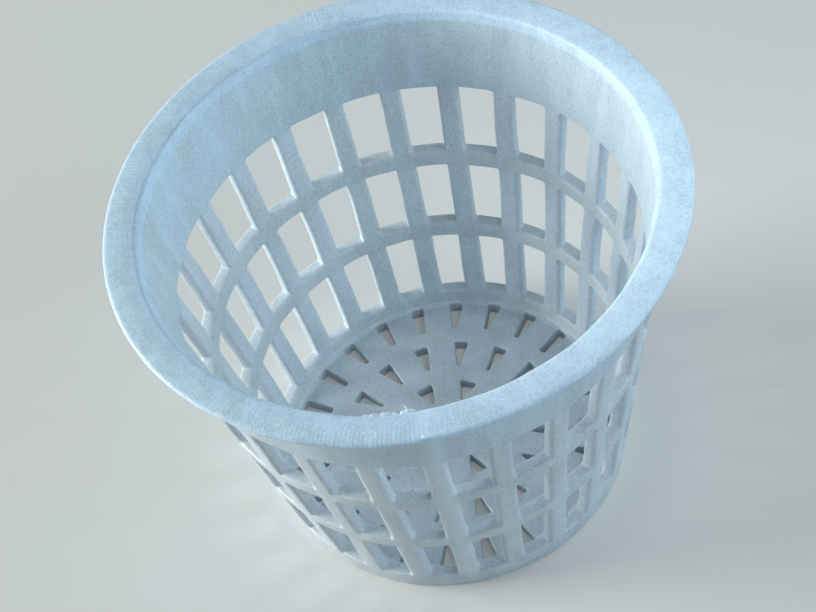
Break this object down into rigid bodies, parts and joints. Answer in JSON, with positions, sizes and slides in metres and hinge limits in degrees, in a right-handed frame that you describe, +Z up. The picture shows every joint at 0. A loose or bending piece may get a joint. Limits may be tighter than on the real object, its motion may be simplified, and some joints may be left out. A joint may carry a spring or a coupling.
{
  "type": "net pot",
  "caption": "Conical plant cup of open lattice with a flat hanging lip and a slotted floor.",
  "frame": {"origin": "centre of the underside, on the surface that the pot stands on", "axes": "+Z up along the pot's axis; +X through the middle of rib_01"},
  "size_m": [0.08, 0.08, 0.056],
  "materials": {
    "plastic_rings": "natural pale bluish white, slightly clouded, fine level layer lines",
    "plastic_ribs": "the same plastic, a little lighter and smoother on the rounded edges"
  },
  "bodies": {
    "root": {"rim_lip": "plastic_rings", "collar_band": "plastic_rings", "rib_01": "plastic_ribs", "rib_02": "plastic_ribs", "rib_03": "plastic_ribs", "rib_04": "plastic_ribs", "rib_05": "plastic_ribs", "rib_06": "plastic_ribs", "rib_07": "plastic_ribs", "rib_08": "plastic_ribs", "rib_09": "plastic_ribs", "rib_10": "plastic_ribs", "rib_11": "plastic_ribs", "rib_12": "plastic_ribs", "rib_13": "plastic_ribs", "rib_14": "plastic_ribs", "rib_15": "plastic_ribs", "rib_16": "plastic_ribs", "rib_17": "plastic_ribs", "rib_18": "plastic_ribs", "rib_19": "plastic_ribs", "rib_20": "plastic_ribs", "rib_21": "plastic_ribs", "rib_22": "plastic_ribs", "rib_23": "plastic_ribs", "rib_24": "plastic_ribs", "upper_hoop": "plastic_rings", "lower_hoop": "plastic_rings", "base_band": "plastic_rings", "floor_outer_grille": "plastic_rings", "floor_middle_grille": "plastic_rings", "floor_hub": "plastic_rings"}
  },
  "joints": []
}
